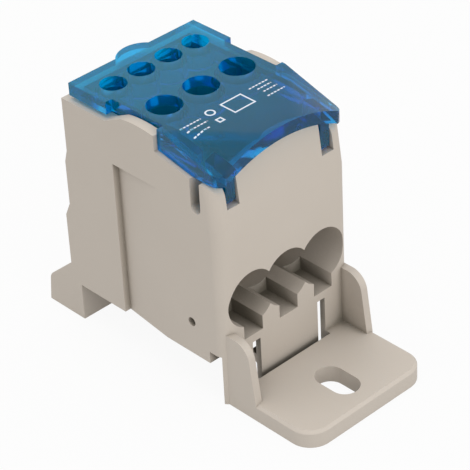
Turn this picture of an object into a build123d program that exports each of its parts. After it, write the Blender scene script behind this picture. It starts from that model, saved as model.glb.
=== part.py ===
"""DIN-rail distribution block with a hinged see-through cover, in millimetres.

+X points to the front wire entries, +Y across the width and +Z up.
The origin is on the mounting surface, in the middle of the length and of the width.
"""
import os
from math import sqrt

from build123d import *

os.makedirs("parts", exist_ok=True)

# Width and walls of the housing
body_width = 30.0
side_wall = 2.75
front_wall = 2.9
corner_radius = 2.3

# Mounting rail that the recess under the housing straddles
rail_width = 35.0
rail_play = 1.0
rail_lip = 1.2
recess_height = 7.5
front_leg = 1.2
back_leg = 2.3
hook_reach = 1.6
hook_land = 0.7
hook_height = 2.0
hook_width = 20.0

# Floor, conductor block and chamber, stacked upwards from the recess
floor_thickness = 5.1
block_height = 15.4
chamber_height = 18.1
block_play = 0.2

# Stepped back wall
back_wall = 4.6
tier_low_step = 1.3
tier_high_step = 0.7
tier_low_top = 21.6
tier_mid_bottom = 24.4
tier_mid_top = 33.2
tier_high_bottom = 35.6

# Side walls: raised lip, step and slope towards the front
lip_thickness = 1.95
lip_rise = 2.1
lip_crown = 0.35
lip_ramp_start = 26.5
lip_start = 22.3
lip_end = 14.4
step_drop = 0.9
slope_end = 5.9
slope_end_drop = 3.4
post_drop = 3.5
post_round = 2.6

# Slot that frees each corner post, and the hinge notch beside it
slot_width = 2.25
post_depth = 3.95
slot_bottom = 37.3
notch_width = 2.75
notch_bottom = 38.7
lean_rate = 0.13
lean_start = 35.0

# Wire entries at the front and outlets at the back
entry_depth = 11.3
entry_margin = 3.95
entry_radius = 5.3
entry_count = 3
entry_height = 6.8
entry_roof = 1.9
key_width = 4.3
key_depth = 7.6
key_drop = 7.5
outlet_margin = 2.905
outlet_radius = 3.7
outlet_count = 4
outlet_height = 4.9

# Front foot with its cheeks and slotted hole
foot_length = 18.8
foot_inset = 0.8
foot_thickness = 3.3
foot_radius = 4.2
foot_edge = 0.5
cheek_thickness = 1.45
cheek_height = 14.6
cheek_reach = 6.0
cheek_lean = 1.55
cheek_round = 3.4
slot_centre = 11.2
slot_length = 8.8
slot_diameter = 5.3

# Back foot with its cheeks and open slot
back_foot = 7.1
back_foot_rise = 11.3
back_foot_edge = 5.7
back_foot_lean = 0.65
back_foot_round = 2.4

# Snap tongue cut out of the front leg
tongue_width = 13.7
tongue_slot = 1.8
tongue_top = 10.35
tongue_end = 0.8
tongue_gap = 1.2
spring_depth = 5.0
channel_depth = 2.7
channel_top = 9.9

# Cored underside and the fixing screw's seat
core_width = 4.6
core_pitch = 6.1
core_count = 4
core_depth = 2.4
core_start = 8.5
core_end = 35.0
seat_boss_radius = 4.9

# Shallow recess and dimple in the sides
recess_start = 25.4
recess_end = 14.5
recess_inset = 1.2
recess_top = 38.1
dimple_radius = 0.85
dimple_depth = 1.2
dimple_back = 7.9
dimple_height = 14.2

# Conductor block, its bores and its clamp screws
bore_large_radius = 2.8
bore_small_radius = 1.95
bore_past_screw = 3.2
block_chamfer = 0.5
drill_point = 0.6
large_screw_inset = 7.35
small_screw_inset = 4.4
large_screw_radius = 2.5
small_screw_radius = 1.75
large_screw_length = 8.6
small_screw_length = 9.8
thread_clearance = 0.05
screw_tip_gap = 0.2
socket_across_flats = 2.5
socket_depth = 2.6
driver_slot_width = 0.8
driver_slot_depth = 1.2

# Fixing screw that holds the block from below
fixing_radius = 1.75
fixing_engagement = 3.2
fixing_head_radius = 3.1
fixing_head_height = 2.0
fixing_slot_width = 0.9
fixing_slot_depth = 0.9
fixing_play = 0.15

# Cover
cover_gap = 0.2
cover_side_set = 0.7
cover_wall = 1.6
cover_height = 3.2
cover_plate = 2.4
cover_back_ledge = 1.4
cover_front_over = 0.1
cover_corner = 1.8
arch_start = 13.5
arch_radius = 27.5
arch_back_radius = 60.0
panel_gap = 0.45
skirt_wall = 1.2
skirt_depth = 2.6
skirt_front = 7.2
small_hole_radius = 2.4
large_hole_radius = 3.15
collar_wall = 0.8
collar_length = 2.9
grip_half_width = 3.8
grip_reach = 1.8

# Hinge between the cover's legs and the corner posts
pivot_back = 2.4
pivot_height = 41.0
pin_radius = 0.95
pin_clearance = 0.05
pin_length = 1.65
pin_end_gap = 0.2
leg_width = 2.1
leg_side_gap = 0.35
boss_radius = 2.0
arm_front = 1.1
arm_back = 5.4

# Places that follow from the sizes above
half_width = body_width / 2
inner_half = half_width - side_wall
notch_inner = inner_half - notch_width
entry_pitch = 2 * (inner_half - entry_margin) / (entry_count - 1)
outlet_pitch = 2 * (inner_half - outlet_margin) / (outlet_count - 1)
recess_width = rail_width + rail_play
body_depth = front_leg + recess_width + back_leg
front_x = (foot_length + body_depth + back_foot) / 2 - foot_length
back_x = front_x - body_depth
leg_inner_x = front_x - front_leg
back_leg_x = back_x + back_leg
floor_z = recess_height + floor_thickness
block_top_z = floor_z + block_height
wall_top_z = block_top_z + chamber_height
lip_top_z = wall_top_z + lip_rise
step_z = wall_top_z - step_drop
pocket_front_x = front_x - entry_depth
pocket_back_x = back_x + back_wall
top_back_x = back_x + tier_low_step + tier_high_step
entry_z = floor_z + entry_height
outlet_z = floor_z + outlet_height
ledge_z = entry_z + entry_radius + entry_roof
block_front_x = pocket_front_x - block_play
block_back_x = pocket_back_x + block_play
large_screw_x = block_front_x - large_screw_inset
small_screw_x = block_back_x + small_screw_inset
large_bore_depth = large_screw_inset + bore_past_screw
small_bore_depth = small_screw_inset + bore_past_screw - bore_large_radius + bore_small_radius
fixing_x = (block_front_x - large_bore_depth + block_back_x + small_bore_depth) / 2
cover_top_z = wall_top_z + cover_height
cover_back_x = top_back_x + cover_back_ledge
cover_front_x = front_x + cover_front_over
cover_half = half_width - cover_side_set
plate_z = cover_top_z - cover_plate
slope_end_z = plate_z - slope_end_drop
post_z = plate_z - post_drop
pivot_x = front_x - pivot_back
leg_outer_y = inner_half - leg_side_gap
leg_inner_y = leg_outer_y - leg_width
slot_back_x = front_x - post_depth - slot_width
lean_slope = sqrt(1 + lean_rate**2)
post_round_z = post_z - post_round
post_tangent_z = post_round_z + post_round * lean_rate / lean_slope
entry_ys = [entry_pitch * (i - (entry_count - 1) / 2) for i in range(entry_count)]
outlet_ys = [outlet_pitch * (i - (outlet_count - 1) / 2) for i in range(outlet_count)]
core_ys = [core_pitch * (i - (core_count - 1) / 2) for i in range(core_count)]


def ahead(distance):
    """X of a point that lies this far behind the front face."""
    return front_x - distance


def arc_sag(radius, y):
    """How far an arc of this radius has dropped from its crown at this distance from the middle."""
    return radius - sqrt(radius**2 - y**2)


def front_arch(y):
    """Height of the cover's arched front edge at this distance from the middle."""
    return cover_top_z - arc_sag(arch_radius, y)


def back_arch(y):
    """Height of the arch where the curved top begins, which the flat top cuts off."""
    return cover_top_z + arc_sag(arch_back_radius, cover_half) - arc_sag(arch_back_radius, y)


def lean_x(z):
    """X of the front wall's outer face, which leans back above a certain height."""
    return front_x - lean_rate * (z - lean_start)


# Housing: one moulding, drawn first as a solid seen from the side
with BuildPart() as housing:
    with BuildSketch(Plane.XZ):
        with BuildLine():
            outline = Polyline(
                (ahead(lip_end), lip_top_z),
                (ahead(lip_end), step_z),
                (ahead(slope_end), slope_end_z),
                (ahead(slope_end), post_z),
                (lean_x(post_z), post_z),
                (front_x, lean_start),
                (front_x, 0),
                (back_x, 0),
                (back_x, tier_low_top),
                (top_back_x - tier_high_step, tier_mid_bottom),
                (top_back_x - tier_high_step, tier_mid_top),
                (top_back_x, tier_high_bottom),
                (top_back_x, wall_top_z),
                (ahead(lip_ramp_start), wall_top_z),
                (ahead(lip_start), lip_top_z),
            )
            ThreePointArc(
                outline @ 1,
                (ahead((lip_start + lip_end) / 2), lip_top_z + lip_crown),
                outline @ 0,
            )
        make_face()
    extrude(amount=half_width, both=True)
    front_corners = housing.edges().filter_by_position(Axis.X, lean_x(post_z), front_x).filter_by(
        lambda e: abs(abs(e.center().Y) - half_width) < 0.01 and abs(e.tangent_at(0.5).Z) > 0.9)
    fillet(front_corners, corner_radius)
    with BuildSketch(Plane.XZ):
        post_round_x = lean_x(post_round_z) - post_round * lean_slope
        with Locations((post_round_x, post_tangent_z)):
            Rectangle(front_x - post_round_x, post_z - post_tangent_z, align=(Align.MIN, Align.MIN))
        with Locations((post_round_x, post_round_z)):
            Circle(post_round, mode=Mode.SUBTRACT)
    extrude(amount=half_width, both=True, mode=Mode.SUBTRACT)

    # Arched panel in the middle of the front wall
    with BuildSketch(Plane.YZ.offset(front_x)):
        with Locations((0, cover_top_z - arch_radius - cover_plate - panel_gap)):
            Circle(arch_radius)
        with Locations((0, notch_bottom)):
            Rectangle(2 * notch_inner, arch_radius, align=(Align.CENTER, Align.MIN), mode=Mode.INTERSECT)
    extrude(amount=-front_wall)
    with BuildSketch(Plane.XZ):
        with BuildLine():
            Polyline(
                (front_x, lean_start),
                (lean_x(cover_top_z), cover_top_z),
                (front_x, cover_top_z),
                close=True,
            )
        make_face()
    extrude(amount=notch_inner, both=True, mode=Mode.SUBTRACT)

    # Back foot: floor plate between two sloping cheeks
    with BuildSketch(Plane.XZ) as foot_view:
        with BuildLine():
            Polyline(
                (back_x, 0),
                (back_x - back_foot, 0),
                (back_x - back_foot + back_foot_lean, back_foot_edge),
                (back_x, back_foot_rise),
                close=True,
            )
        make_face()
        fillet(foot_view.vertices().sort_by(Axis.X)[1], back_foot_round)
    extrude(amount=half_width, both=True)
    with BuildSketch(Plane.XY.offset(foot_thickness)):
        with Locations((back_x, 0)):
            Rectangle(back_foot, body_width - 2 * cheek_thickness, align=(Align.MAX, Align.CENTER))
    extrude(amount=back_foot_rise, mode=Mode.SUBTRACT)
    with BuildSketch(Plane.XY):
        with Locations((back_x - back_foot, 0)):
            Rectangle(back_foot - slot_diameter / 2, slot_diameter, align=(Align.MIN, Align.CENTER))
        with Locations((back_x - slot_diameter / 2, 0)):
            Circle(slot_diameter / 2)
    extrude(amount=foot_thickness, mode=Mode.SUBTRACT)

    # Front foot: plate with rounded corners, an elongated hole and two cheeks
    with BuildSketch(Plane.XY) as plate_view:
        with Locations((front_x - front_leg / 2, 0)):
            Rectangle(
                foot_length + front_leg / 2,
                body_width - 2 * foot_inset,
                align=(Align.MIN, Align.CENTER),
            )
        fillet(plate_view.vertices().group_by(Axis.X)[-1], foot_radius)
    extrude(amount=foot_thickness)
    top_rim = housing.faces().filter_by_position(Axis.Z, foot_thickness, foot_thickness).sort_by(
        Axis.X)[-1].outer_wire().edges().filter_by(lambda e: e.center().X > front_x + cheek_reach)
    chamfer(top_rim, foot_edge)
    with BuildSketch(Plane.XY):
        with Locations((front_x + slot_centre, 0)):
            SlotOverall(slot_length, slot_diameter)
    extrude(amount=foot_thickness, mode=Mode.SUBTRACT)
    for side in (-1, 1):
        outer_y = side * (half_width - foot_inset)
        with BuildSketch(Plane.XZ.offset(-outer_y)) as cheek_view:
            with BuildLine():
                Polyline(
                    (front_x - front_leg / 2, 0),
                    (front_x + cheek_reach, 0),
                    (front_x + cheek_reach, foot_thickness),
                    (front_x + cheek_reach - cheek_lean, cheek_height),
                    (front_x - front_leg / 2, cheek_height),
                    close=True,
                )
            make_face()
            fillet(cheek_view.vertices().sort_by(Axis.Y)[-2:].sort_by(Axis.X)[-1], cheek_round)
        extrude(amount=side * cheek_thickness)

    # Chamber open at the top, with the pocket that the conductor block drops into
    with BuildSketch(Plane.XY.offset(floor_z)):
        with Locations((pocket_back_x, 0)):
            Rectangle(pocket_front_x - pocket_back_x, 2 * inner_half, align=(Align.MIN, Align.CENTER))
    extrude(amount=lip_top_z, mode=Mode.SUBTRACT)
    with BuildSketch(Plane.XY.offset(ledge_z)):
        with Locations((pocket_back_x, 0)):
            Rectangle(ahead(front_wall) - pocket_back_x, 2 * inner_half, align=(Align.MIN, Align.CENTER))
    extrude(amount=lip_top_z, mode=Mode.SUBTRACT)

    # Seat for the cover inside the raised lips
    with BuildSketch(Plane.XY.offset(wall_top_z)):
        with Locations((ahead(lip_end), 0)):
            Rectangle(
                lip_ramp_start - lip_end,
                2 * (half_width - lip_thickness),
                align=(Align.MAX, Align.CENTER),
            )
    extrude(amount=lip_rise + lip_crown, mode=Mode.SUBTRACT)

    # Hinge notches in the front wall, slots behind the corner posts, and the pin holes
    for side in (-1, 1):
        with BuildSketch(Plane.XY.offset(notch_bottom)):
            with Locations((front_x, side * (notch_inner + inner_half) / 2)):
                Rectangle(front_wall, inner_half - notch_inner, align=(Align.MAX, Align.CENTER))
        extrude(amount=arch_radius, mode=Mode.SUBTRACT)
        with BuildSketch(Plane.XZ.offset(-side * inner_half)):
            with Locations((slot_back_x + slot_width / 2, slot_bottom + slot_width / 2)):
                Circle(slot_width / 2)
                Rectangle(slot_width, lip_top_z, align=(Align.CENTER, Align.MIN))
        extrude(amount=-side * side_wall, mode=Mode.SUBTRACT)
        with BuildSketch(Plane.XZ.offset(-side * inner_half)):
            with Locations((pivot_x, pivot_height)):
                Circle(pin_radius + pin_clearance)
        extrude(amount=-side * (pin_length - leg_side_gap + pin_end_gap), mode=Mode.SUBTRACT)

    # Front wire entries with a square key cut under each, and the outlets at the back
    with BuildSketch(Plane.YZ.offset(front_x)):
        with Locations(*[(y, entry_z) for y in entry_ys]):
            Circle(entry_radius)
    extrude(amount=-entry_depth, mode=Mode.SUBTRACT)
    with BuildSketch(Plane.YZ.offset(front_x)):
        with Locations(*[(y, entry_z) for y in entry_ys]):
            Rectangle(key_width, key_drop, align=(Align.CENTER, Align.MAX))
    extrude(amount=-key_depth, mode=Mode.SUBTRACT)
    with BuildSketch(Plane.YZ.offset(back_x)):
        with Locations(*[(y, outlet_z) for y in outlet_ys]):
            Circle(outlet_radius)
    extrude(amount=back_wall, mode=Mode.SUBTRACT)

    # Recess for the rail, the cored underside and the seat of the fixing screw
    with BuildSketch(Plane.XY):
        with Locations((leg_inner_x, 0)):
            Rectangle(recess_width, body_width, align=(Align.MAX, Align.CENTER))
    extrude(amount=recess_height, mode=Mode.SUBTRACT)
    with BuildSketch(Plane.XY.offset(recess_height)):
        with Locations(*[(ahead((core_start + core_end) / 2), y) for y in core_ys]):
            Rectangle(core_end - core_start, core_width)
        with Locations((fixing_x, 0)):
            Circle(seat_boss_radius, mode=Mode.SUBTRACT)
    extrude(amount=core_depth, mode=Mode.SUBTRACT)
    with Locations(Location((fixing_x, 0, recess_height), (180, 0, 0))):
        CounterBoreHole(
            fixing_radius + fixing_play,
            fixing_head_radius + fixing_play,
            fixing_head_height + fixing_play,
            floor_thickness,
        )

    # Snap tongue: two slots, a free end, room to bend and the plate cut back in front of it
    tongue_half = tongue_width / 2
    with BuildSketch(Plane.YZ.offset(front_x)):
        with Locations((-tongue_half - tongue_slot / 2, 0), (tongue_half + tongue_slot / 2, 0)):
            Rectangle(tongue_slot, tongue_top, align=(Align.CENTER, Align.MIN))
        Rectangle(tongue_width, tongue_end, align=(Align.CENTER, Align.MIN))
    extrude(amount=-front_leg, mode=Mode.SUBTRACT)
    with BuildSketch(Plane.XY):
        with Locations((front_x, 0)):
            Rectangle(tongue_gap, tongue_width + 2 * tongue_slot, align=(Align.MIN, Align.CENTER))
    extrude(amount=foot_thickness, mode=Mode.SUBTRACT)
    with BuildSketch(Plane.XY.offset(recess_height)):
        with Locations((leg_inner_x, 0)):
            Rectangle(spring_depth, tongue_width + 2 * tongue_slot, align=(Align.MAX, Align.CENTER))
    extrude(amount=tongue_top - recess_height, mode=Mode.SUBTRACT)
    with BuildSketch(Plane.XY.offset(recess_height)):
        with Locations((leg_inner_x, 0)):
            Rectangle(channel_depth, body_width, align=(Align.MAX, Align.CENTER))
    extrude(amount=channel_top - recess_height, mode=Mode.SUBTRACT)

    # Fixed hook at the back and latch nose on the tongue, one rail lip below the ceiling
    hook_z = recess_height - rail_lip
    for root_x, reach, width in (
        (back_leg_x, hook_reach, hook_width),
        (leg_inner_x, -hook_reach, tongue_width),
    ):
        with BuildSketch(Plane.XZ):
            with BuildLine():
                Polyline(
                    (root_x, hook_z),
                    (root_x + reach, hook_z),
                    (root_x + reach, hook_z - hook_land),
                    (root_x, hook_z - hook_height),
                    close=True,
                )
            make_face()
        extrude(amount=width / 2, both=True)

    # Shallow stepped recess and dimple in each side
    for side in (-1, 1):
        with BuildSketch(Plane.XY):
            with BuildLine():
                Polyline(
                    (ahead(recess_start), side * half_width),
                    (ahead(recess_start), side * (half_width - recess_inset)),
                    (ahead(recess_end), side * half_width),
                    close=True,
                )
            make_face()
        extrude(amount=recess_top, mode=Mode.SUBTRACT)
        with BuildSketch(Plane.XZ.offset(-side * half_width)):
            with Locations((ahead(dimple_back), dimple_height)):
                Circle(dimple_radius)
        extrude(amount=side * dimple_depth, mode=Mode.SUBTRACT)


def crown_form(half, drop):
    """Closed form under the cover's top, lowered by drop: flat at the back, arched towards the front."""
    top_z = cover_top_z - drop
    with BuildPart() as form:
        for x, arch in ((ahead(arch_start), back_arch), (cover_front_x, front_arch)):
            side_z = arch(cover_half) - drop
            with BuildSketch(Plane.YZ.offset(x)):
                with BuildLine():
                    ThreePointArc((-cover_half, side_z), (0, arch(0) - drop), (cover_half, side_z))
                    Polyline(
                        (cover_half, side_z),
                        (cover_half, slot_bottom),
                        (-cover_half, slot_bottom),
                        (-cover_half, side_z),
                    )
                make_face()
        loft(ruled=True)
        with BuildSketch(Plane.XZ):
            with Locations((cover_back_x - grip_reach, slot_bottom)):
                Rectangle(
                    ahead(arch_start) - cover_back_x + grip_reach,
                    top_z - slot_bottom,
                    align=(Align.MIN, Align.MIN),
                )
        extrude(amount=half, both=True)
        with BuildSketch(Plane.XZ):
            with Locations((cover_back_x - grip_reach, slot_bottom)):
                Rectangle(2 * body_depth, top_z - slot_bottom, align=(Align.MIN, Align.MIN))
        extrude(amount=half, both=True, mode=Mode.INTERSECT)
    return form.part


def crown_height(x, y):
    """Height of the cover's curved top between the arch where it begins and its front edge."""
    share = (x - ahead(arch_start)) / (cover_front_x - ahead(arch_start))
    return back_arch(y) + share * (front_arch(y) - back_arch(y))


outer_form = crown_form(cover_half, 0)
inner_form = crown_form(cover_half - cover_wall, cover_plate)

# Cover: one clear moulding with a skirt, collars, a grip, two hinge legs and their pins
with BuildPart() as cover:
    with BuildSketch(Plane.XZ):
        with BuildLine():
            Polyline(
                (cover_back_x, plate_z),
                (ahead(lip_end) + cover_gap, plate_z),
                (ahead(lip_end) + cover_gap, step_z + cover_gap),
                (ahead(slope_end), slope_end_z + cover_gap),
                (cover_front_x, slope_end_z + cover_gap),
                (cover_front_x, cover_top_z),
                (cover_back_x, cover_top_z),
                close=True,
            )
        make_face()
    extrude(amount=cover_half, both=True)
    with BuildSketch(Plane.XY.offset(plate_z)):
        with BuildLine():
            ThreePointArc(
                (cover_back_x, -grip_half_width),
                (cover_back_x - grip_reach, 0),
                (cover_back_x, grip_half_width),
            )
            Line((cover_back_x, grip_half_width), (cover_back_x, -grip_half_width))
        make_face()
    extrude(amount=cover_plate)
    front_corners = cover.edges().filter_by(Axis.Z).filter_by_position(Axis.X, cover_front_x, cover_front_x)
    fillet(front_corners, cover_corner)

    # Side edges cut back where the raised lips stand
    for side in (-1, 1):
        with BuildSketch(Plane.XY.offset(plate_z)):
            with Locations((ahead(lip_end) + cover_gap, side * (half_width - lip_thickness - cover_gap))):
                Rectangle(
                    lip_ramp_start - lip_end + 2 * cover_gap,
                    lip_thickness,
                    align=(Align.MAX, Align.MIN if side > 0 else Align.MAX),
                )
        extrude(amount=cover_top_z, mode=Mode.SUBTRACT)

    # Top surface with its rounded edge, then the hollow under it
    add(outer_form, mode=Mode.INTERSECT)
    add(inner_form, mode=Mode.SUBTRACT)

    # Skirt that drops just inside the walls of the chamber
    skirt_outer = inner_half - cover_gap
    with BuildSketch(Plane.XY.offset(plate_z - skirt_depth)):
        with Locations((pocket_back_x + cover_gap, 0)):
            skirt_length = ahead(skirt_front) - pocket_back_x
            Rectangle(skirt_length, 2 * skirt_outer, align=(Align.MIN, Align.CENTER))
        with Locations((pocket_back_x + cover_gap + skirt_wall, 0)):
            Rectangle(
                skirt_length,
                2 * (skirt_outer - skirt_wall),
                align=(Align.MIN, Align.CENTER),
                mode=Mode.SUBTRACT,
            )
    extrude(amount=skirt_depth + cover_plate / 2)

    # Hinge legs, each an arm with a round foot about the pivot and a pin pointing outwards
    arm_x = ahead((arm_front + arm_back) / 2)
    arm_top = crown_height(arm_x, leg_outer_y) - cover_plate / 2
    for side in (-1, 1):
        with BuildSketch(Plane.XZ.offset(-side * leg_inner_y)):
            with Locations((pivot_x, pivot_height)):
                Circle(boss_radius)
            with BuildLine():
                Polyline(
                    (pivot_x, pivot_height - boss_radius),
                    (ahead(arm_back) + boss_radius, pivot_height - boss_radius),
                    (ahead(arm_back), pivot_height),
                    (ahead(arm_back), arm_top),
                    (ahead(arm_front), arm_top),
                    (ahead(arm_front), pivot_height),
                    (pivot_x, pivot_height),
                    close=True,
                )
            make_face()
            with Locations((ahead(arm_front), pivot_height)):
                Rectangle(
                    boss_radius,
                    2 * boss_radius,
                    align=(Align.MIN, Align.CENTER),
                    mode=Mode.SUBTRACT,
                )
        extrude(amount=-side * leg_width)
        with BuildSketch(Plane.XZ.offset(-side * leg_outer_y)):
            with Locations((pivot_x, pivot_height)):
                Circle(pin_radius)
        extrude(amount=-side * pin_length)

    # Collars under the plate and the screw holes through them
    holes = [(large_screw_x, y, large_hole_radius) for y in entry_ys]
    holes += [(small_screw_x, y, small_hole_radius) for y in outlet_ys]
    with BuildSketch(Plane.XY.offset(plate_z - collar_length)):
        for x, y, radius in holes:
            with Locations((x, y)):
                Circle(radius + collar_wall)
        Rectangle(body_depth * 2, 2 * skirt_outer, mode=Mode.INTERSECT)
    extrude(amount=collar_length + cover_plate / 2)
    with BuildSketch(Plane.XY.offset(plate_z - collar_length)):
        for x, y, radius in holes:
            with Locations((x, y)):
                Circle(radius)
    extrude(amount=collar_length + cover_plate, mode=Mode.SUBTRACT)


def drilled_bore(mouth_x, y, z, radius, depth, inward):
    """Form that a drill leaves along X: a round wall and a pointed end."""
    with BuildPart() as bore:
        with BuildSketch(Plane.XZ.offset(-y)):
            with BuildLine():
                Polyline(
                    (mouth_x, z),
                    (mouth_x, z + radius),
                    (mouth_x + inward * depth, z + radius),
                    (mouth_x + inward * (depth + drill_point * radius), z),
                    close=True,
                )
            make_face()
        revolve(axis=Axis((0, y, z), (1, 0, 0)))
    return bore.part


# Conductor block: bores from both ends, a threaded hole above each, one more for the fixing screw
with BuildPart() as conductor_block:
    with BuildSketch(Plane.XY.offset(floor_z)):
        with Locations((block_back_x, 0)):
            block_half = inner_half - block_play
            Rectangle(block_front_x - block_back_x, 2 * block_half, align=(Align.MIN, Align.CENTER))
    extrude(amount=block_height)
    chamfer(conductor_block.edges(), block_chamfer)
    for y in entry_ys:
        bore = drilled_bore(block_front_x, y, entry_z, bore_large_radius, large_bore_depth, -1)
        add(bore, mode=Mode.SUBTRACT)
    for y in outlet_ys:
        bore = drilled_bore(block_back_x, y, outlet_z, bore_small_radius, small_bore_depth, 1)
        add(bore, mode=Mode.SUBTRACT)
    with Locations(*[(large_screw_x, y, block_top_z) for y in entry_ys]):
        Hole(large_screw_radius + thread_clearance, block_top_z - entry_z)
    with Locations(*[(small_screw_x, y, block_top_z) for y in outlet_ys]):
        Hole(small_screw_radius + thread_clearance, block_top_z - outlet_z)
    with BuildSketch(Plane.XY.offset(floor_z)):
        with Locations((fixing_x, 0)):
            Circle(fixing_radius + thread_clearance)
    extrude(amount=fixing_engagement + fixing_play, mode=Mode.SUBTRACT)


# Clamp screws under the large holes, each with a hexagon socket
large_tip_z = entry_z + bore_large_radius + screw_tip_gap
large_screws = []
for y in entry_ys:
    with BuildPart() as large_screw:
        with BuildSketch(Plane.XY.offset(large_tip_z)):
            with Locations((large_screw_x, y)):
                Circle(large_screw_radius)
        extrude(amount=large_screw_length)
        with BuildSketch(Plane.XY.offset(large_tip_z + large_screw_length)):
            with Locations((large_screw_x, y)):
                RegularPolygon(socket_across_flats / 2, 6, major_radius=False)
        extrude(amount=-socket_depth, mode=Mode.SUBTRACT)
    large_screws.append(large_screw)

# Clamp screws under the small holes, each with a driver slot
small_tip_z = outlet_z + bore_small_radius + screw_tip_gap
small_screws = []
for y in outlet_ys:
    with BuildPart() as small_screw:
        with BuildSketch(Plane.XY.offset(small_tip_z)):
            with Locations((small_screw_x, y)):
                Circle(small_screw_radius)
        extrude(amount=small_screw_length)
        with BuildSketch(Plane.XY.offset(small_tip_z + small_screw_length)):
            with Locations((small_screw_x, y)):
                Rectangle(2 * small_screw_radius, driver_slot_width)
        extrude(amount=-driver_slot_depth, mode=Mode.SUBTRACT)
    small_screws.append(small_screw)

# Fixing screw: cheese head in its counterbore, shank up into the block
with BuildPart() as block_screw:
    head_z = recess_height + fixing_play
    with BuildSketch(Plane.XY.offset(head_z)):
        with Locations((fixing_x, 0)):
            Circle(fixing_head_radius)
    extrude(amount=fixing_head_height)
    with BuildSketch(Plane.XY.offset(head_z + fixing_head_height)):
        with Locations((fixing_x, 0)):
            Circle(fixing_radius)
    extrude(amount=floor_z + fixing_engagement - head_z - fixing_head_height)
    with BuildSketch(Plane.XY.offset(head_z)):
        with Locations((fixing_x, 0)):
            Rectangle(2 * fixing_head_radius, fixing_slot_width)
    extrude(amount=fixing_slot_depth, mode=Mode.SUBTRACT)

pieces = {
    "housing": housing,
    "cover": cover,
    "conductor_block": conductor_block,
    "block_screw": block_screw,
}
pieces.update({f"clamp_screw_large_{i}": screw for i, screw in enumerate(large_screws, 1)})
pieces.update({f"clamp_screw_small_{i}": screw for i, screw in enumerate(small_screws, 1)})
for name, piece in pieces.items():
    piece.part.label = name
    export_step(piece.part, f"parts/{name}.step")
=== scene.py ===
"""Dresses the rail-mounted distribution block: finishes, softened edges, screw threads and cover marks."""
import logging
import math
from dataclasses import dataclass
from enum import Enum

import bmesh
import bpy
from mathutils import Matrix, Vector
from mathutils.bvhtree import BVHTree


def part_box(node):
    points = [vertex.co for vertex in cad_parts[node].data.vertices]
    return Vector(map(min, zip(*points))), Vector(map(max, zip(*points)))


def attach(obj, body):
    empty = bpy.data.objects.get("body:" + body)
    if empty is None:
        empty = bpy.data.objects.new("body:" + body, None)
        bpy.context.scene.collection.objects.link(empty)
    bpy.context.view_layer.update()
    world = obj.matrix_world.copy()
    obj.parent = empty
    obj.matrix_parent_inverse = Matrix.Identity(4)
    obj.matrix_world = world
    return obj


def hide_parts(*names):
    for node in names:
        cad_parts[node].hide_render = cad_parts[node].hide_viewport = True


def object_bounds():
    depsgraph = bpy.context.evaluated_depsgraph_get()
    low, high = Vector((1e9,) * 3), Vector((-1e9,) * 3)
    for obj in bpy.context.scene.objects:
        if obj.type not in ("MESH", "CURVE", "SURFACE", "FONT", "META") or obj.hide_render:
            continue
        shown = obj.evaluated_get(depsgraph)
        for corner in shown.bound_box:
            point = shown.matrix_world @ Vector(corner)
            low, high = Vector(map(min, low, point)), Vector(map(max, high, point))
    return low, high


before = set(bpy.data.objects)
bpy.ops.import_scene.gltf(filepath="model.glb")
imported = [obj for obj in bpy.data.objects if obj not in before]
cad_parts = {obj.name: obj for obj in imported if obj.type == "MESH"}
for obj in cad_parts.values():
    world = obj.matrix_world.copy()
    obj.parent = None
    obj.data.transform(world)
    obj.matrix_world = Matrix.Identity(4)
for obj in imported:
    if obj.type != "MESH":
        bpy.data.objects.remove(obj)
cad_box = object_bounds()

logging.basicConfig(level=logging.INFO, format="%(message)s")
log = logging.getLogger("distribution_block")

MM = 0.001

# Points closer than this are one point
WELD = 0.0005 * MM

# Faces that meet flatter than this are one flat face
FLAT_DEG = 0.5

Tone = tuple[float, float, float]
Place = tuple[float, float, float]
Spot = tuple[float, float]
Span = tuple[float, float]


class Drive(Enum):
    """How a clamp screw's drive is cut."""

    HEXAGON = "hexagon"
    SLOT = "slot"


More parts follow.
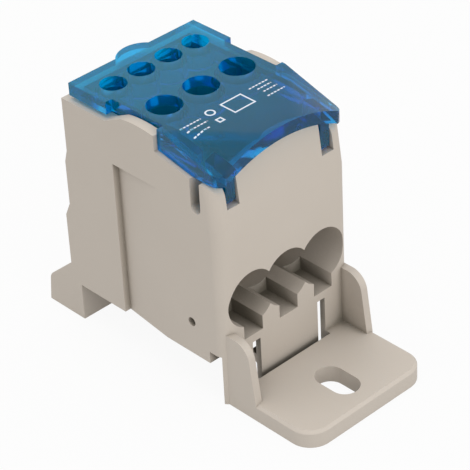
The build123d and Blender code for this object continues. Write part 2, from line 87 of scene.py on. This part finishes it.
@dataclass(frozen=True)
class MouldedPlastic:
    """Fine matt moulded plastic, with a faint mottle and a spark-eroded grain.

    Fields: the two tones and the two glosses that the mottle runs between, the size and depth of the grain,
    and the painted shade tones of the deepest hollows and of the creases, with how far each reaches and
    between which shares of open sky it fades.
    """

    name: str = "housing_grey"
    light: Tone = (0.52, 0.465, 0.405)
    dark: Tone = (0.49, 0.435, 0.375)
    gloss: Span = (0.5, 0.61)
    mottle_per_m: float = 90.0
    mottle_detail: float = 3.0
    grain_per_m: float = 5200.0
    grain_detail: float = 2.0
    grain_strength: float = 0.35
    grain_depth: float = 0.05 * MM
    # Painted shade: darker tones for the deep hollows and the creases, where less light reaches
    painted_hollow_shade: Tone = (0.15, 0.133, 0.104)
    painted_hollow_shade_reach: float = 18.0 * MM
    painted_hollow_shade_share: Span = (0.17, 0.45)
    painted_crease_shade: Tone = (0.27, 0.235, 0.19)
    painted_crease_shade_reach: float = 2.2 * MM
    painted_crease_shade_share: Span = (0.4, 0.78)
    sky_samples: int = 8

    def material(self) -> bpy.types.Material:
        """Builds the node material.

        Returns:
            The finished material.
        """
        mat, shader = new_material(self.name)
        place = object_place(mat)
        mottle = noise(mat, place, self.mottle_per_m, self.mottle_detail)
        tone = blended(mat, mottle, self.dark, self.light)
        # Painted shade: the creases, then the deep hollows, are painted darker by how little open sky they
        # see
        with_crease_shade = self.paint_shade(mat, tone, self.painted_crease_shade, self.painted_crease_shade_reach, self.painted_crease_shade_share)
        painted_shade_tone = self.paint_shade(mat, with_crease_shade, self.painted_hollow_shade, self.painted_hollow_shade_reach, self.painted_hollow_shade_share)
        link(mat, painted_shade_tone, shader.inputs["Base Color"])
        grain = noise(mat, place, self.grain_per_m, self.grain_detail)
        raise_bumps(mat, grain, shader, self.grain_strength, self.grain_depth)
        link(mat, spread(mat, mottle, self.gloss), shader.inputs["Roughness"])
        return mat

    def paint_shade(
        self, mat: bpy.types.Material, plain: bpy.types.NodeSocket, painted_shade_tone: Tone, reach: float, share: Span
    ) -> bpy.types.NodeSocket:
        """Paints shade into a tone where the piece closes in on itself.

        Args:
            mat: the material that gets the nodes.
            plain: the tone of open faces.
            painted_shade_tone: the painted shade tone of closed-in faces.
            reach: how far away another face still counts, in metres.
            share: the shares of open sky between which the tone fades.

        Returns:
            The socket of the tone with painted shade.
        """
        sky = add_node(mat, "ShaderNodeAmbientOcclusion", samples=self.sky_samples, only_local=True)
        sky.inputs["Distance"].default_value = reach
        mixed = add_node(mat, "ShaderNodeMix", data_type="RGBA")
        mixed.inputs["A"].default_value = (*painted_shade_tone, 1.0)
        link(mat, spread(mat, sky.outputs["AO"], (0.0, 1.0), share), mixed.inputs["Factor"])
        link(mat, plain, mixed.inputs["B"])
        return mixed.outputs["Result"]


@dataclass(frozen=True)
class ClearPlastic:
    """Glossy see-through plastic that darkens with the depth looked through.

    Fields: the surface tint and the share of it that is left where the flow waves darken it, the colour
    and strength of the dye, the glosses that the waves run between, the refraction, how clear it is behind
    and in front, where along X that changes, how much it mirrors, and the size, strength and depth of the
    waves.
    """

    name: str = "clear_blue"
    tint: Tone = (0.0, 0.64, 0.9)
    wave_share: float = 0.88
    dye: Tone = (0.0, 0.893, 0.972)
    dye_per_m: float = 1500.0
    gloss: Span = (0.04, 0.09)
    refraction: float = 1.34
    clearness: Span = (0.8, 0.94)
    haze_span: Span = (-26.0 * MM, 14.0 * MM)
    glare: float = 0.35
    flow_per_m: float = 60.0
    flow_detail: float = 1.0
    wave_strength: float = 0.15
    wave_depth: float = 0.2 * MM

    def material(self) -> bpy.types.Material:
        """Builds the node material.

        Returns:
            The finished material.
        """
        mat, shader = new_material(self.name)
        shader.inputs["IOR"].default_value = self.refraction
        shader.inputs["Specular IOR Level"].default_value = self.glare
        place = object_place(mat)
        along = add_node(mat, "ShaderNodeSeparateXYZ")
        link(mat, place, along.inputs["Vector"])
        clear = spread(mat, along.outputs["X"], self.clearness, self.haze_span)
        link(mat, clear, shader.inputs["Transmission Weight"])
        flow = noise(mat, place, self.flow_per_m, self.flow_detail)
        darker = tuple(self.wave_share * part for part in self.tint)
        link(mat, blended(mat, flow, self.tint, darker), shader.inputs["Base Color"])
        link(mat, spread(mat, flow, self.gloss), shader.inputs["Roughness"])
        raise_bumps(mat, flow, shader, self.wave_strength, self.wave_depth)
        dye = add_node(mat, "ShaderNodeVolumeAbsorption")
        dye.inputs["Color"].default_value = (*self.dye, 1.0)
        dye.inputs["Density"].default_value = self.dye_per_m
        output = mat.node_tree.nodes["Material Output"]
        link(mat, dye.outputs["Volume"], output.inputs["Volume"])
        return mat


@dataclass(frozen=True)
class PlatedMetal:
    """Plated metal with fine turning marks and a cloudy plate.

    Fields: the bright and the dull tone, the glosses that the clouds run between, the pitch of the marks,
    the size of the clouds, how far the marks are pressed together along the axis, and their strength and
    depth.
    """

    name: str
    bright: Tone
    dull: Tone
    gloss: Span
    marks_per_m: float
    cloud_per_m: float = 500.0
    cloud_detail: float = 4.0
    marks_detail: float = 2.0
    marks_stretch: tuple[float, float, float] = (1.0, 1.0, 14.0)
    marks_strength: float = 0.25
    marks_depth: float = 0.03 * MM

    def material(self) -> bpy.types.Material:
        """Builds the node material.

        Returns:
            The finished material.
        """
        mat, shader = new_material(self.name)
        shader.inputs["Metallic"].default_value = 1.0
        place = object_place(mat)
        cloud = noise(mat, place, self.cloud_per_m, self.cloud_detail)
        link(mat, blended(mat, cloud, self.dull, self.bright), shader.inputs["Base Color"])
        link(mat, spread(mat, cloud, self.gloss), shader.inputs["Roughness"])
        stretch = add_node(mat, "ShaderNodeMapping")
        stretch.inputs["Scale"].default_value = self.marks_stretch
        link(mat, place, stretch.inputs["Vector"])
        marks = noise(mat, stretch.outputs["Vector"], self.marks_per_m, self.marks_detail)
        raise_bumps(mat, marks, shader, self.marks_strength, self.marks_depth)
        return mat


@dataclass(frozen=True)
class PrintInk:
    """Thin white pad-printed ink, a little worn.

    Fields: the full and the thin tone, the gloss, and the size of the worn specks.
    """

    name: str = "cover_ink"
    full: Tone = (0.74, 0.8, 0.84)
    thin: Tone = (0.5, 0.6, 0.68)
    roughness: float = 0.5
    wear_per_m: float = 2500.0
    wear_detail: float = 2.0

    def material(self) -> bpy.types.Material:
        """Builds the node material.

        Returns:
            The finished material.
        """
        mat, shader = new_material(self.name)
        wear = noise(mat, object_place(mat), self.wear_per_m, self.wear_detail)
        link(mat, blended(mat, wear, self.thin, self.full), shader.inputs["Base Color"])
        shader.inputs["Roughness"].default_value = self.roughness
        return mat


def new_material(name: str) -> tuple[bpy.types.Material, bpy.types.Node]:
    """Starts a node material.

    Args:
        name: the material's name.

    Returns:
        The material and its main shader node.
    """
    mat = bpy.data.materials.new(name)
    mat.use_nodes = True
    return mat, mat.node_tree.nodes["Principled BSDF"]


def add_node(mat: bpy.types.Material, kind: str, **settings: object) -> bpy.types.Node:
    """Adds a node with its settings.

    Args:
        mat: the material that gets the node.
        kind: the node's type name.
        settings: properties set on the node.

    Returns:
        The new node.
    """
    node = mat.node_tree.nodes.new(kind)
    for key, value in settings.items():
        setattr(node, key, value)
    return node


def link(mat: bpy.types.Material, out: bpy.types.NodeSocket, into: bpy.types.NodeSocket) -> None:
    """Links two sockets of a material."""
    mat.node_tree.links.new(out, into)


def object_place(mat: bpy.types.Material) -> bpy.types.NodeSocket:
    """Adds the node for a point's place on the object, and gives its socket."""
    return add_node(mat, "ShaderNodeTexCoord").outputs["Object"]


def noise(
    mat: bpy.types.Material, place: bpy.types.NodeSocket, per_m: float, detail: float
) -> bpy.types.NodeSocket:
    """Adds noise on object coordinates.

    Args:
        mat: the material that gets the node.
        place: the socket of the place on the object.
        per_m: how many features there are in a metre.
        detail: the octaves of finer noise.

    Returns:
        The socket of the noise, from 0 to 1.
    """
    node = add_node(mat, "ShaderNodeTexNoise")
    node.inputs["Scale"].default_value = per_m
    node.inputs["Detail"].default_value = detail
    link(mat, place, node.inputs["Vector"])
    return node.outputs["Fac"]


def blended(
    mat: bpy.types.Material, share: bpy.types.NodeSocket, low: Tone, high: Tone
) -> bpy.types.NodeSocket:
    """Runs between two tones.

    Args:
        mat: the material that gets the node.
        share: the socket that says how far the tone has gone, from 0 to 1.
        low: the tone at 0.
        high: the tone at 1.

    Returns:
        The socket of the resulting tone.
    """
    node = add_node(mat, "ShaderNodeMix", data_type="RGBA")
    node.inputs["A"].default_value = (*low, 1.0)
    node.inputs["B"].default_value = (*high, 1.0)
    link(mat, share, node.inputs["Factor"])
    return node.outputs["Result"]


def spread(
    mat: bpy.types.Material, value: bpy.types.NodeSocket, into: Span, out_of: Span = (0.0, 1.0)
) -> bpy.types.NodeSocket:
    """Maps one range of a value to another.

    Args:
        mat: the material that gets the node.
        value: the socket that is mapped.
        into: the range that it ends up in.
        out_of: the range that it comes from.

    Returns:
        The socket of the mapped value.
    """
    node = add_node(mat, "ShaderNodeMapRange")
    for socket, limit in zip(("From Min", "From Max", "To Min", "To Max"), out_of + into):
        node.inputs[socket].default_value = limit
    link(mat, value, node.inputs["Value"])
    return node.outputs["Result"]


def raise_bumps(
    mat: bpy.types.Material, height: bpy.types.NodeSocket, shader: bpy.types.Node, strength: float,
    depth: float
) -> None:
    """Roughens a surface with small bumps.

    Args:
        mat: the material that gets the node.
        height: the socket of the bumps' height.
        shader: the shader node that shows them.
        strength: how strongly they show.
        depth: how deep they are, in metres.
    """
    node = add_node(mat, "ShaderNodeBump")
    node.inputs["Strength"].default_value = strength
    node.inputs["Distance"].default_value = depth
    link(mat, height, node.inputs["Height"])
    link(mat, node.outputs["Normal"], shader.inputs["Normal"])


def dress(obj: bpy.types.Object, mat: bpy.types.Material) -> None:
    """Puts one material on the whole object."""
    obj.data.materials.clear()
    obj.data.materials.append(mat)


def shade_by_angle(bm: bmesh.types.BMesh, angle_deg: float) -> None:
    """Shades a mesh smooth, apart from edges sharper than an angle.

    Args:
        bm: the mesh.
        angle_deg: the least angle that stays sharp.
    """
    for face in bm.faces:
        face.smooth = True
    limit = math.radians(angle_deg)
    for edge in bm.edges:
        edge.smooth = len(edge.link_faces) == 2 and edge.calc_face_angle(0.0) < limit


def finished_object(bm: bmesh.types.BMesh, name: str, mat: bpy.types.Material) -> bpy.types.Object:
    """Makes a dressed object at the origin from a mesh, and frees the mesh.

    Args:
        bm: the mesh, in the row frame.
        name: the piece's name.
        mat: its material.

    Returns:
        The new object.
    """
    mesh = bpy.data.meshes.new(name)
    bm.to_mesh(mesh)
    bm.free()
    obj = bpy.data.objects.new(name, mesh)
    bpy.context.scene.collection.objects.link(obj)
    dress(obj, mat)
    return obj


def weigh_normals(obj: bpy.types.Object) -> None:
    """Lets the large flat faces set the shading at rounded edges, as on a real moulding."""
    level = obj.modifiers.new("weighted_normals", "WEIGHTED_NORMAL")
    level.mode = "FACE_AREA"
    level.keep_sharp = True


def combined(target: bmesh.types.BMesh, tool: bmesh.types.BMesh, operation: str) -> bmesh.types.BMesh:
    """Cuts one closed mesh with another, and frees both.

    Args:
        target: the mesh that is cut.
        tool: the mesh that cuts it.
        operation: DIFFERENCE or INTERSECT.

    Returns:
        The resulting mesh.
    """
    pair = []
    for bm, name in ((target, "blank"), (tool, "cutter")):
        mesh = bpy.data.meshes.new(name)
        bm.to_mesh(mesh)
        bm.free()
        pair.append(bpy.data.objects.new(name, mesh))
        bpy.context.scene.collection.objects.link(pair[-1])
    cut = pair[0].modifiers.new("cut", "BOOLEAN")
    cut.operation = operation
    cut.solver = "EXACT"
    cut.object = pair[1]
    graph = bpy.context.evaluated_depsgraph_get()
    result = bpy.data.meshes.new_from_object(pair[0].evaluated_get(graph))
    bm = bmesh.new()
    bm.from_mesh(result)
    for obj in pair:
        mesh = obj.data
        bpy.data.objects.remove(obj)
        bpy.data.meshes.remove(mesh)
    bpy.data.meshes.remove(result)

    # The cut leaves its points in no fixed order, and the weld goes by their order
    for index, vert in enumerate(sorted(bm.verts, key=lambda vert: tuple(vert.co))):
        vert.index = index
    bm.verts.sort()
    bmesh.ops.remove_doubles(bm, verts=bm.verts[:], dist=WELD)
    return bm


def softened_copy(
    node: str, width: float, rounds: int, sharp_deg: float = 30.0, smooth_deg: float = 35.0
) -> bmesh.types.BMesh:
    """Copies a CAD node's mesh and rounds its sharp edges.

    Args:
        node: the CAD node.
        width: how far the rounding reaches from an edge, in metres.
        rounds: how many faces the rounding has across.
        sharp_deg: the least angle of an edge that is rounded.
        smooth_deg: the least angle that stays sharp in the shading.

    Returns:
        The softened mesh.
    """
    bm = bmesh.new()
    bm.from_mesh(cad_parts[node].data)
    bmesh.ops.remove_doubles(bm, verts=bm.verts[:], dist=WELD)
    bmesh.ops.dissolve_limit(
        bm, angle_limit=math.radians(FLAT_DEG), use_dissolve_boundaries=False,
        verts=bm.verts[:], edges=bm.edges[:])
    limit = math.radians(sharp_deg)
    sharp = [e for e in bm.edges if len(e.link_faces) == 2 and e.calc_face_angle(0.0) > limit]
    bmesh.ops.bevel(
        bm, geom=sharp, offset=width, offset_type="OFFSET", affect="EDGES", segments=rounds, profile=0.5,
        material=-1, clamp_overlap=True, harden_normals=False)
    bmesh.ops.remove_doubles(bm, verts=bm.verts[:], dist=WELD)
    shade_by_angle(bm, smooth_deg)
    return bm


@dataclass
class Housing:
    """The grey moulding that carries everything."""

    finish: MouldedPlastic = MouldedPlastic()
    edge_round: float = 0.22 * MM
    edge_faces: int = 2

    def build(self) -> None:
        """Dresses the housing with softened edges."""
        bm = softened_copy("housing", self.edge_round, self.edge_faces)
        piece = finished_object(bm, "housing_moulding", self.finish.material())
        weigh_normals(piece)
        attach(piece, "housing")
        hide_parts("housing")
        log.info("housing: softened moulding")


@dataclass
class InkMarks:
    """Generic printed strokes on the cover: dashed bars, a ring, a small square and a plain frame.

    Sizes and places are in millimetres. A bar is its X, and the Y where it starts and ends.
    """

    left_bars: tuple[tuple[float, float, float], ...] = (
        (2.7, -11.9, -7.3), (4.0, -11.5, -7.0), (5.6, -11.5, -7.8))
    right_bars: tuple[tuple[float, float, float], ...] = (
        (1.9, 4.4, 8.7), (3.0, 5.3, 8.4), (4.2, 5.5, 8.6), (5.7, 5.0, 8.9))
    bar_width: float = 0.3
    dash: float = 0.5
    dash_gap: float = 0.24
    ring_centre: Spot = (2.5, -5.0)
    ring_radius: float = 0.95
    ring_sides: int = 32
    square_centre: Spot = (5.3, -5.4)
    square_half: float = 0.65
    frame_centre: Spot = (3.7, 0.1)
    frame_half: Spot = (1.9, 2.4)
    stroke: float = 0.3
    proud: float = 0.01
    thickness: float = 0.04
    drape_step: float = 0.4
    ink: PrintInk = PrintInk()

    def build(self, surface: BVHTree) -> None:
        """Lays the ink on the cover.

        Args:
            surface: the cover's surface, to drape the ink on.
        """
        bm = bmesh.new()
        for x, low_y, high_y in self.left_bars + self.right_bars:
            y = low_y
            while y < high_y:
                self.bar(bm, (x, y), (x, min(y + self.dash, high_y)), self.bar_width)
                y += self.dash + self.dash_gap
        self.outline(bm, self.square_centre, (self.square_half, self.square_half))
        self.outline(bm, self.frame_centre, self.frame_half)
        self.ring(bm)
        self.drape(bm, surface)
        piece = finished_object(bm, "cover_ink_marks", self.ink.material())
        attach(piece, "cover")
        log.info("ink marks: bars, ring, square and frame")

    def bar(self, bm: bmesh.types.BMesh, start: Spot, end: Spot, width: float) -> None:
        """Adds a flat straight stroke.

        Args:
            bm: the mesh that gets it.
            start: where it starts, in millimetres.
            end: where it ends.
            width: how wide it is.
        """
        run = Vector(end) - Vector(start)
        middle = (Vector(end) + Vector(start)) / 2
        place = Matrix.Translation((middle.x * MM, middle.y * MM, 0.0))
        turn = Matrix.Rotation(math.atan2(run.y, run.x), 4, "Z")
        scale = Matrix.Diagonal((run.length * MM, width * MM, 1.0, 1.0))
        steps = max(1, round(run.length / self.drape_step))
        bmesh.ops.create_grid(bm, x_segments=steps, y_segments=1, size=0.5, matrix=place @ turn @ scale)

    def outline(self, bm: bmesh.types.BMesh, centre: Spot, half: Spot) -> None:
        """Adds a rectangle of four strokes.

        Args:
            bm: the mesh that gets it.
            centre: its middle, in millimetres.
            half: half its length and half its width.
        """
        (x, y), (a, b) = centre, half
        inset = self.stroke / 2
        for side in (-1, 1):
            across, along = y + side * (b - inset), x + side * (a - inset)
            self.bar(bm, (x - a, across), (x + a, across), self.stroke)
            self.bar(bm, (along, y - b + self.stroke), (along, y + b - self.stroke), self.stroke)

    def ring(self, bm: bmesh.types.BMesh) -> None:
        """Adds the flat ring."""
        x, y = self.ring_centre
        place = Matrix.Translation((x * MM, y * MM, 0.0))
        earlier = len(bm.edges)
        for radius in (self.ring_radius, self.ring_radius - self.stroke):
            bmesh.ops.create_circle(bm, segments=self.ring_sides, radius=radius * MM, matrix=place)
        bmesh.ops.bridge_loops(bm, edges=bm.edges[earlier:])

    def drape(self, bm: bmesh.types.BMesh, surface: BVHTree) -> None:
        """Drops the flat strokes on the cover and gives them their thickness.

        Args:
            bm: the flat strokes.
            surface: the cover's surface.
        """
        down = Vector((0.0, 0.0, -1.0))
        high = cad_box[1][2] + MM
        for vert in bm.verts:
            hit = surface.ray_cast(Vector((vert.co.x, vert.co.y, high)), down)[0]
            vert.co.z = hit.z + self.proud * MM
        bmesh.ops.recalc_face_normals(bm, faces=bm.faces[:])
        for face in bm.faces:
            if face.normal.z < 0:
                face.normal_flip()
        made = bmesh.ops.extrude_face_region(bm, geom=bm.faces[:], use_keep_orig=True)["geom"]
        lower = [v for v in made if isinstance(v, bmesh.types.BMVert)]
        bmesh.ops.translate(bm, verts=lower, vec=(0, 0, -self.thickness * MM))
        bmesh.ops.recalc_face_normals(bm, faces=bm.faces[:])


@dataclass
class Cover:
    """The clear blue lid with its collars, grip and hinge legs."""

    finish: ClearPlastic = ClearPlastic()
    edge_round: float = 0.35 * MM
    edge_faces: int = 3
    ink_room: float = 0.02 * MM

    def build(self) -> None:
        """Dresses the cover with softened edges, and prints on it.

        The flat top stands a hair lower than the CAD box, which leaves room for the ink.
        """
        bm = softened_copy("cover", self.edge_round, self.edge_faces)
        top = cad_box[1][2]
        flat = [v for v in bm.verts if v.co.z > top - self.ink_room / 2]
        bmesh.ops.translate(bm, verts=flat, vec=(0, 0, -self.ink_room))
        surface = BVHTree.FromBMesh(bm)
        piece = finished_object(bm, "cover_moulding", self.finish.material())
        weigh_normals(piece)
        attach(piece, "cover")
        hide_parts("cover")
        InkMarks().build(surface)
        log.info("cover: softened moulding")


@dataclass
class ClampScrew:
    """One set screw with a rolled thread, chamfered ends and its drive.

    The thread's depth and the places of its crest and foot are shares of the pitch. The slot's cutter is as
    long as slot_radii times the screw's radius.
    """

    node: str
    drive: Drive
    pitch: float
    drive_size: float
    drive_depth: float
    thread_depth: float = 0.6
    crest_start: float = 0.4
    crest_end: float = 0.55
    foot_start: float = 0.95
    spare_turns: int = 2
    steps_per_turn: int = 30
    blank_sides: int = 64
    chamfer: float = 0.3 * MM
    spare: float = 0.2 * MM
    crest_spare: float = 0.02 * MM
    trim_margin: float = 0.0001 * MM
    slot_radii: float = 3.0
    sharp_deg: float = 25.0

    def build(self, mat: bpy.types.Material) -> None:
        """Cuts the screw and seats it where its CAD node is.

        Args:
            mat: the screw's material.
        """
        low, high = (Vector(corner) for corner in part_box(self.node))
        centre = (low + high) / 2
        radius = (high.x - low.x) / 2
        rod = self.thread(centre, radius, low.z, high.z)
        bar = self.blank(centre, radius, low.z, high.z)
        driven = combined(bar, self.cutter(centre, radius, high.z), "DIFFERENCE")
        bm = combined(rod, driven, "INTERSECT")
        shade_by_angle(bm, self.sharp_deg)
        piece = finished_object(bm, f"{self.node}_threaded", mat)
        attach(piece, self.node)
        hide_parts(self.node)

    def thread(self, centre: Vector, radius: float, low: float, high: float) -> bmesh.types.BMesh:
        """Winds the thread as a closed rod, a little longer than the screw.

        Args:
            centre: a point on the axis.
            radius: the crest's radius.
            low: the height of the tip.
            high: the height of the top.

        Returns:
            The threaded rod.
        """
        root = radius - self.thread_depth * self.pitch
        crest = radius + self.crest_spare
        start = low - self.spare_turns * self.pitch
        turns = math.ceil((high - low) / self.pitch) + 2 * self.spare_turns
        bm = bmesh.new()
        corners = (
            (root, 0.0), (crest, self.crest_start), (crest, self.crest_end), (root, self.foot_start),
            (root, 1.0))
        verts = [bm.verts.new((centre.x + r, centre.y, start + share * self.pitch)) for r, share in corners]
        edges = [bm.edges.new(pair) for pair in zip(verts, verts[1:])]
        steps = turns * self.steps_per_turn
        rise = self.pitch / self.steps_per_turn
        bmesh.ops.spin(
            bm, geom=verts + edges, cent=centre, axis=(0, 0, 1), dvec=(0, 0, rise), angle=turns * math.tau,
            steps=steps, use_merge=False, use_duplicate=False)
        bmesh.ops.remove_doubles(bm, verts=bm.verts[:], dist=2 * WELD)

        # The flanks are twisted, so each gets its diagonal here, where it is the same each run
        bmesh.ops.triangulate(bm, faces=bm.faces[:], quad_method="SHORT_EDGE")
        for height, keep_above in ((low - self.spare, True), (high + self.spare, False)):
            bmesh.ops.bisect_plane(
                bm, geom=bm.verts[:] + bm.edges[:] + bm.faces[:], dist=self.trim_margin,
                plane_co=(0, 0, height), plane_no=(0, 0, 1), clear_inner=keep_above,
                clear_outer=not keep_above)
        bmesh.ops.holes_fill(bm, edges=[e for e in bm.edges if e.is_boundary], sides=0)
        bmesh.ops.recalc_face_normals(bm, faces=bm.faces[:])
        return bm

    def blank(self, centre: Vector, radius: float, low: float, high: float) -> bmesh.types.BMesh:
        """Turns the chamfered bar that the thread is trimmed to.

        Args:
            centre: a point on the axis.
            radius: the screw's radius.
            low: the height of the tip.
            high: the height of the top.

        Returns:
            The bar.
        """
        bm = bmesh.new()
        bmesh.ops.create_cone(
            bm, cap_ends=True, segments=self.blank_sides, radius1=radius, radius2=radius, depth=high - low,
            matrix=Matrix.Translation((centre.x, centre.y, (low + high) / 2)))
        rims = [e for e in bm.edges if any(len(face.verts) > 4 for face in e.link_faces)]
        bmesh.ops.bevel(
            bm, geom=rims, offset=self.chamfer, offset_type="OFFSET", affect="EDGES", segments=1,
            profile=0.5, material=-1, clamp_overlap=True)
        return bm

    def cutter(self, centre: Vector, radius: float, high: float) -> bmesh.types.BMesh:
        """Makes the form of the hexagon socket or the slot.

        Args:
            centre: a point on the axis.
            radius: the screw's radius.
            high: the height of the top.

        Returns:
            The cutting form.
        """
        bm = bmesh.new()
        depth = self.drive_depth + self.spare
        place = Matrix.Translation((centre.x, centre.y, high + self.spare - depth / 2))
        if self.drive is Drive.HEXAGON:
            corner = self.drive_size / 2 / math.cos(math.pi / 6)
            bmesh.ops.create_cone(
                bm, cap_ends=True, segments=6, radius1=corner, radius2=corner, depth=depth, matrix=place)
        else:
            scale = Matrix.Diagonal((self.slot_radii * radius, self.drive_size, depth, 1.0))
            bmesh.ops.create_cube(bm, size=1.0, matrix=place @ scale)
        return bm


@dataclass
class Conductor:
    """The plated brass block, its clamp screws and the screw that holds it from below."""

    plate: PlatedMetal = PlatedMetal(
        name="tin_plate", bright=(0.6, 0.55, 0.43), dull=(0.42, 0.37, 0.27), gloss=(0.26, 0.42),
        marks_per_m=900.0)
    zinc: PlatedMetal = PlatedMetal(
        name="zinc_plate", bright=(0.66, 0.68, 0.7), dull=(0.42, 0.44, 0.47), gloss=(0.22, 0.38),
        marks_per_m=1500.0)
    large_count: int = 3
    large_pitch: float = 0.8 * MM
    socket_width: float = 2.5 * MM
    socket_depth: float = 2.6 * MM
    small_count: int = 4
    small_pitch: float = 0.6 * MM
    slot_width: float = 0.8 * MM
    slot_depth: float = 1.2 * MM

    def build(self) -> None:
        """Dresses the block and its screw, and cuts the clamp screws."""
        zinc = self.zinc.material()
        dress(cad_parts["conductor_block"], self.plate.material())
        dress(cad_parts["block_screw"], zinc)
        large = (Drive.HEXAGON, self.large_pitch, self.socket_width, self.socket_depth)
        for i in range(1, self.large_count + 1):
            ClampScrew(f"clamp_screw_large_{i}", *large).build(zinc)
        small = (Drive.SLOT, self.small_pitch, self.slot_width, self.slot_depth)
        for i in range(1, self.small_count + 1):
            ClampScrew(f"clamp_screw_small_{i}", *small).build(zinc)
        log.info("conductor: block and threaded screws")


@dataclass
class Studio:
    """Pale floor, soft lamps, plain white surroundings and the photograph's camera."""

    floor_half: float = 1.6
    floor_tone: Tone = (0.6, 0.6, 0.595)
    floor_roughness: float = 0.9
    floor_glow: float = 0.93
    sky_light: float = 0.92
    key_watts: float = 1.0
    key_place: Place = (0.6, -0.1, 0.24)
    key_size: float = 0.4
    top_watts: float = 1.4
    top_place: Place = (-0.05, -0.05, 0.7)
    top_size: float = 0.4
    floor_drop: float = 0.02 * MM
    target: Place = (0.0, 0.0, 0.022)
    camera_place_mm: Place = (238.25, -214.27, 241.95)
    azimuth_deg: float = 47.99
    elevation_deg: float = 34.36
    roll_deg: float = -3.23
    focal_px: float = 2271.4
    centre_px: Spot = (230.7, 227.9)
    frame_px: float = 470.0
    sensor_mm: float = 36.0
    nearest: float = 0.01

    def build(self) -> None:
        """Sets up the floor, the lamps, the surroundings and the camera."""
        self.floor()
        self.surroundings()
        self.lamp("key", self.key_place, self.key_size, self.key_watts)
        self.lamp("top", self.top_place, self.top_size, self.top_watts)
        self.camera()
        log.info("studio: floor, lamps and camera")

    def seen_plainly(self, tree: bpy.types.NodeTree) -> bpy.types.NodeSocket:
        """Tells rays of the camera, of reflections and through clear plastic from the rest.

        Args:
            tree: the node tree that gets the nodes.

        Returns:
            The socket that is 1 for such rays.
        """
        path = tree.nodes.new("ShaderNodeLightPath")
        value = path.outputs["Is Camera Ray"]
        for kind in ("Is Glossy Ray", "Is Transmission Ray"):
            either = tree.nodes.new("ShaderNodeMath")
            either.operation = "MAXIMUM"
            tree.links.new(value, either.inputs[0])
            tree.links.new(path.outputs[kind], either.inputs[1])
            value = either.outputs["Value"]
        return value

    def floor(self) -> None:
        """Lays a pale floor that looks white to the camera and keeps the shadow."""
        bm = bmesh.new()
        place = Matrix.Translation((0, 0, -self.floor_drop))
        bmesh.ops.create_grid(bm, x_segments=1, y_segments=1, size=self.floor_half, matrix=place)
        mat, shader = new_material("floor_white")
        shader.inputs["Base Color"].default_value = (*self.floor_tone, 1.0)
        shader.inputs["Roughness"].default_value = self.floor_roughness
        shader.inputs["Specular IOR Level"].default_value = 0.0
        glow = add_node(mat, "ShaderNodeEmission")
        glow.inputs["Strength"].default_value = 1.0
        share = add_node(mat, "ShaderNodeMath", operation="MULTIPLY")
        share.inputs[1].default_value = self.floor_glow
        link(mat, self.seen_plainly(mat.node_tree), share.inputs[0])
        blend = add_node(mat, "ShaderNodeMixShader")
        link(mat, share.outputs["Value"], blend.inputs["Fac"])
        link(mat, shader.outputs["BSDF"], blend.inputs[1])
        link(mat, glow.outputs["Emission"], blend.inputs[2])
        link(mat, blend.outputs["Shader"], mat.node_tree.nodes["Material Output"].inputs["Surface"])
        obj = finished_object(bm, "floor", mat)

    def surroundings(self) -> None:
        """Lights softly from all round, and shows white to the camera and in reflections."""
        world = bpy.data.worlds.new("surroundings")
        bpy.context.scene.world = world
        world.use_nodes = True
        nodes, links = world.node_tree.nodes, world.node_tree.links
        light = nodes["Background"]
        light.inputs["Color"].default_value = (1.0, 1.0, 1.0, 1.0)
        light.inputs["Strength"].default_value = self.sky_light
        white = nodes.new("ShaderNodeBackground")
        white.inputs["Color"].default_value = (1.0, 1.0, 1.0, 1.0)
        white.inputs["Strength"].default_value = 1.0
        blend = nodes.new("ShaderNodeMixShader")
        links.new(self.seen_plainly(world.node_tree), blend.inputs["Fac"])
        links.new(light.outputs["Background"], blend.inputs[1])
        links.new(white.outputs["Background"], blend.inputs[2])
        links.new(blend.outputs["Shader"], nodes["World Output"].inputs["Surface"])

    def lamp(self, name: str, place: Place, size: float, watts: float) -> None:
        """Hangs one soft square lamp aimed at the object, which leaves no white mirror image in the metal.

        Args:
            name: the lamp's name.
            place: where it hangs, in metres.
            size: the side of its square, in metres.
            watts: its power.
        """
        data = bpy.data.lights.new(name, "AREA")
        data.size = size
        data.energy = watts
        obj = bpy.data.objects.new(name, data)
        obj.visible_glossy = False
        aim = Vector(self.target) - Vector(place)
        obj.matrix_world = Matrix.Translation(place) @ aim.to_track_quat("-Z", "Y").to_matrix().to_4x4()
        bpy.context.scene.collection.objects.link(obj)

    def camera(self) -> None:
        """Puts the camera where the photograph was taken from."""
        azimuth, elevation = math.radians(self.azimuth_deg), math.radians(self.elevation_deg)
        roll = math.radians(self.roll_deg)
        level = math.cos(elevation)
        back = Vector((math.sin(azimuth) * level, -math.cos(azimuth) * level, math.sin(elevation)))
        level_right = (-back).cross(Vector((0.0, 0.0, 1.0))).normalized()
        level_up = level_right.cross(-back)
        right = math.cos(roll) * level_right + math.sin(roll) * level_up
        up = -math.sin(roll) * level_right + math.cos(roll) * level_up
        data = bpy.data.cameras.new("photo_camera")
        data.sensor_width = self.sensor_mm
        data.lens = self.focal_px * self.sensor_mm / self.frame_px
        data.shift_x = (self.frame_px / 2 - self.centre_px[0]) / self.frame_px
        data.shift_y = (self.centre_px[1] - self.frame_px / 2) / self.frame_px
        data.clip_start = self.nearest
        obj = bpy.data.objects.new("photo_camera", data)
        turn = Matrix((right, up, back)).transposed().to_4x4()
        obj.matrix_world = Matrix.Translation(Vector(self.camera_place_mm) * MM) @ turn
        bpy.context.scene.collection.objects.link(obj)
        bpy.context.scene.camera = obj


def main() -> None:
    """Builds every sub-assembly in order, then the studio."""
    bpy.context.scene.view_settings.view_transform = "Standard"
    Housing().build()
    Cover().build()
    Conductor().build()
    Studio().build()


if __name__ == "__main__":
    main()
